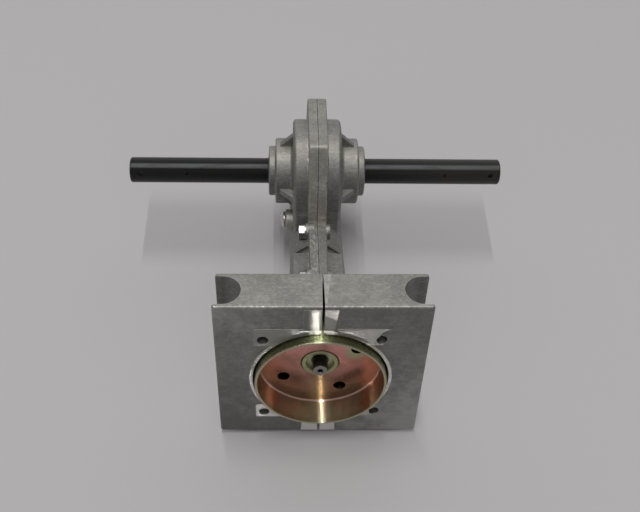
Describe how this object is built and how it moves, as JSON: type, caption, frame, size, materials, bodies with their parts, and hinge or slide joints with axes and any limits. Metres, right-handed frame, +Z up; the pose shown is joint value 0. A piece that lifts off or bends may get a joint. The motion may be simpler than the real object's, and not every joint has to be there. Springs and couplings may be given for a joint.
{
  "type": "tiller gearbox",
  "caption": "Worm reduction gearbox of a small tiller: split cast case, square engine block with handle grooves, clutch drum input and a through tine shaft.",
  "frame": {"origin": "bottom centre of the assembly's box, on the surface that the gearbox lies on", "axes": "+X along the tine shaft to the right, +Z up from the surface it lies on, -Y towards the engine side; the clutch drum's axis points to -Y and leans 8.20 degrees upwards"},
  "size_m": [0.2352, 0.2002, 0.1098],
  "materials": {
    "cast_aluminium": "as-cast, mottled satin",
    "black_steel": "black oxide, oiled",
    "dark_steel": "hardened, dark",
    "yellow_zinc": "yellow passivated zinc",
    "zinc_steel": "bright zinc",
    "bearing_steel": "ground",
    "bronze": "cut bronze",
    "rubber": "matt",
    "gasket_fibre": "fibre",
    "cage_nylon": "moulded"
  },
  "bodies": {
    "housing": {"left_housing": "cast_aluminium", "right_housing": "cast_aluminium", "joint_gasket": "gasket_fibre", "housing_screws": "zinc_steel", "screw_washers": "zinc_steel", "dowel_pins": "bearing_steel", "grease_plug": "zinc_steel", "plug_washer": "gasket_fibre", "left_bearing_outer_ring": "bearing_steel", "right_bearing_outer_ring": "bearing_steel", "middle_bearing_outer_ring": "bearing_steel", "upper_bearing_outer_ring": "bearing_steel", "left_shaft_seal": "rubber", "right_shaft_seal": "rubber", "input_seal": "rubber", "tail_bush": "bronze"},
    "drive": {"worm_shaft": "dark_steel", "clutch_drum": "yellow_zinc", "drum_hub": "yellow_zinc", "middle_bearing_inner_ring": "bearing_steel", "upper_bearing_inner_ring": "bearing_steel", "retaining_rings": "dark_steel"},
    "tine": {"tine_shaft": "black_steel", "worm_wheel": "bronze", "wheel_key": "dark_steel", "left_spacer": "dark_steel", "right_spacer": "dark_steel", "left_bearing_inner_ring": "bearing_steel", "right_bearing_inner_ring": "bearing_steel"},
    "worm_cages": {"middle_bearing_balls": "bearing_steel", "middle_bearing_cage": "cage_nylon", "upper_bearing_balls": "bearing_steel", "upper_bearing_cage": "cage_nylon"},
    "tine_cages": {"left_bearing_balls": "bearing_steel", "left_bearing_cage": "cage_nylon", "right_bearing_balls": "bearing_steel", "right_bearing_cage": "cage_nylon"}
  },
  "joints": [
    {"name": "drive_spin", "type": "hinge", "parent": "housing", "child": "drive", "pos_m": [0, -0.04861, 0.04638], "axis": [0, -0.9898, 0.1426], "continuous": true},
    {"name": "tine_spin", "type": "hinge", "parent": "housing", "child": "tine", "pos_m": [0, 0.05493, 0.06379], "axis": [1, 0, 0], "continuous": true},
    {"name": "worm_cage_spin", "type": "hinge", "parent": "housing", "child": "worm_cages", "pos_m": [0, -0.04861, 0.04638], "axis": [0, -0.9898, 0.1426], "continuous": true},
    {"name": "tine_cage_spin", "type": "hinge", "parent": "housing", "child": "tine_cages", "pos_m": [0, 0.05493, 0.06379], "axis": [1, 0, 0], "continuous": true}
  ],
  "couplings": [
    {"joint": "tine_spin", "follows": "drive_spin", "ratio": 0.03125},
    {"joint": "worm_cage_spin", "follows": "drive_spin", "ratio": 0.381},
    {"joint": "tine_cage_spin", "follows": "drive_spin", "ratio": 0.012764}
  ]
}
